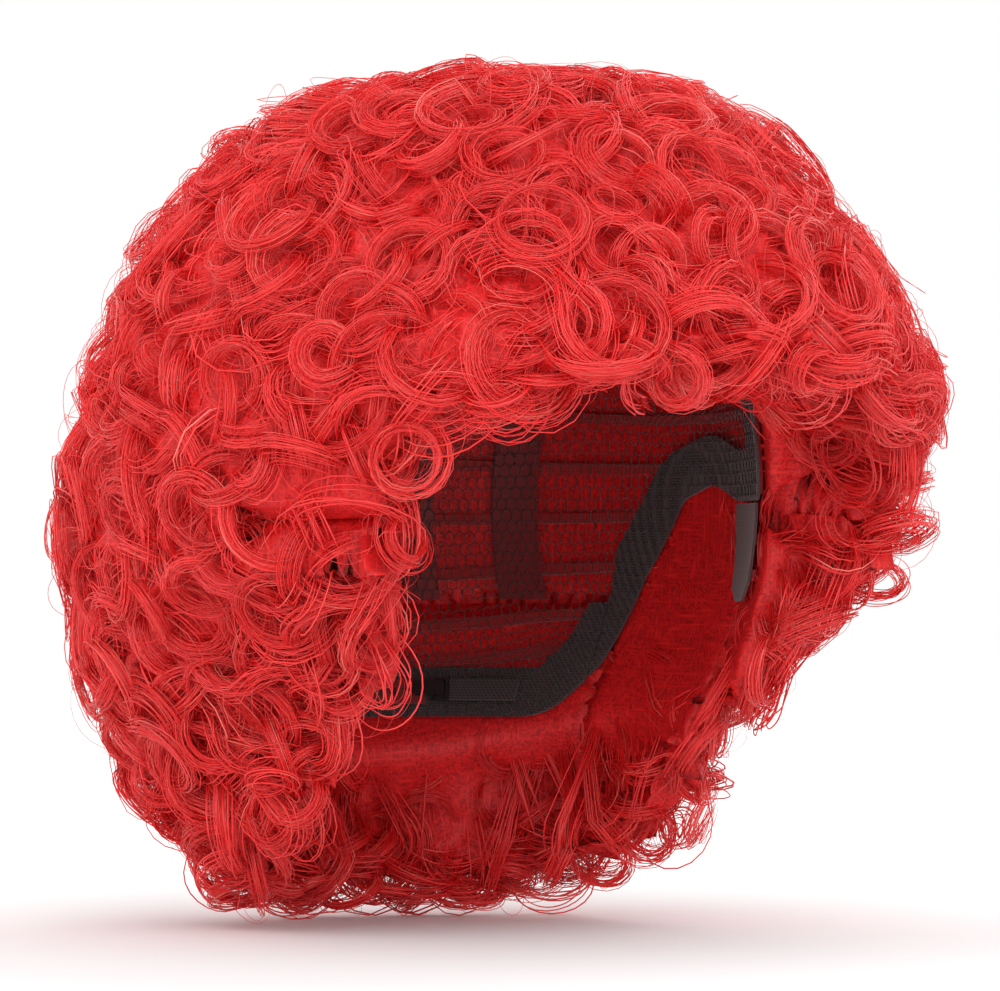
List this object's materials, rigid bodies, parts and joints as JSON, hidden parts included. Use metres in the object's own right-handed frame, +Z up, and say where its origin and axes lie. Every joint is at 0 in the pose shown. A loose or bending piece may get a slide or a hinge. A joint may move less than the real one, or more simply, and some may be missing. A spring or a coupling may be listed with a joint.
{
  "type": "costume wig",
  "caption": "Round curly costume wig on a stretch cap, with ear tabs, sewn weft rows and hook-and-eyelet nape adjusters.",
  "frame": {"origin": "centre of the head opening, on the head's axis at eye level", "axes": "+Z up, the wearer faces -Y, +X is the wearer's left"},
  "size_m": [0.2722, 0.3105, 0.268],
  "materials": {
    "hair_fibre": "satin",
    "weft_tape": "matte",
    "cap_net": "matte",
    "elastic": "matte",
    "ribbon": "satin",
    "thread": "matte",
    "patch": "matte",
    "label": "satin",
    "tab_lace": "matte",
    "stay": "matte",
    "hook_plastic": "satin"
  },
  "bodies": {
    "cap": {"crown_net": "cap_net", "front_band": "elastic", "left_side_band": "elastic", "right_side_band": "elastic", "centre_tape": "ribbon", "left_inner_tape": "ribbon", "right_inner_tape": "ribbon", "left_outer_tape": "ribbon", "right_outer_tape": "ribbon", "tape_bartacks": "thread", "crown_patch": "patch", "care_label": "label", "hairline_weft": "weft_tape", "weft_row_1": "weft_tape", "weft_row_2": "weft_tape", "weft_row_3": "weft_tape", "weft_row_4": "weft_tape", "weft_row_5": "weft_tape", "weft_row_6": "weft_tape", "weft_row_7": "weft_tape", "weft_row_8": "weft_tape", "weft_row_9": "weft_tape", "curls_row_1": "hair_fibre", "curls_row_2": "hair_fibre", "curls_row_3": "hair_fibre", "curls_row_4": "hair_fibre", "curls_row_5": "hair_fibre", "curls_row_6": "hair_fibre", "curls_row_7": "hair_fibre", "curls_row_8": "hair_fibre", "curls_row_9": "hair_fibre", "left_ear_curls": "hair_fibre", "right_ear_curls": "hair_fibre"},
    "nape": {"nape_panel": "cap_net", "nape_band": "elastic", "nape_hairline_weft": "weft_tape", "nape_weft_row_1": "weft_tape", "nape_curls_row_1": "hair_fibre", "nape_weft_row_2": "weft_tape", "nape_curls_row_2": "hair_fibre", "nape_weft_row_3": "weft_tape", "nape_curls_row_3": "hair_fibre", "left_eyelet_tape": "ribbon", "left_adjuster_strap": "elastic", "right_eyelet_tape": "ribbon", "right_adjuster_strap": "elastic"},
    "left_ear_tab": {"left_ear_tab": "tab_lace", "left_ear_stay": "stay", "left_tab_weft": "weft_tape", "left_tab_curls": "hair_fibre"},
    "left_strap_end": {"left_strap_end": "hook_plastic"},
    "left_hook": {"left_hook": "hook_plastic"},
    "right_ear_tab": {"right_ear_tab": "tab_lace", "right_ear_stay": "stay", "right_tab_weft": "weft_tape", "right_tab_curls": "hair_fibre"},
    "right_strap_end": {"right_strap_end": "hook_plastic"},
    "right_hook": {"right_hook": "hook_plastic"}
  },
  "joints": [
    {"name": "left_ear_tab_bend", "type": "hinge", "parent": "cap", "child": "left_ear_tab", "pos_m": [0.06988, -0.041, 0.0096], "axis": [-0.3547, -0.935, 0], "range_deg": [-8, 12]},
    {"name": "right_ear_tab_bend", "type": "hinge", "parent": "cap", "child": "right_ear_tab", "pos_m": [-0.06988, -0.041, 0.0096], "axis": [-0.3547, 0.935, 0], "range_deg": [-8, 12]},
    {"name": "nape_flex", "type": "hinge", "parent": "cap", "child": "nape", "pos_m": [0, 0.095, -0.019], "axis": [1, 0, 0], "range_deg": [0, 8]},
    {"name": "left_adjuster_travel", "type": "hinge", "parent": "nape", "child": "left_strap_end", "pos_m": [0, 0.028, -0.052], "axis": [0, 0, 1], "range_deg": [0, 13.5], "deforming": ["left_adjuster_strap"]},
    {"name": "right_adjuster_travel", "type": "hinge", "parent": "nape", "child": "right_strap_end", "pos_m": [0, 0.028, -0.052], "axis": [0, 0, -1], "range_deg": [0, 13.5], "deforming": ["right_adjuster_strap"]},
    {"name": "left_hook_lift", "type": "hinge", "parent": "left_strap_end", "child": "left_hook", "pos_m": [0.02548, 0.07108, -0.05115], "axis": [0.2713, 0.4587, 0.8462], "range_deg": [-8, 45]},
    {"name": "right_hook_lift", "type": "hinge", "parent": "right_strap_end", "child": "right_hook", "pos_m": [-0.02548, 0.07108, -0.05115], "axis": [0.2713, -0.4587, -0.8462], "range_deg": [-8, 45]}
  ]
}
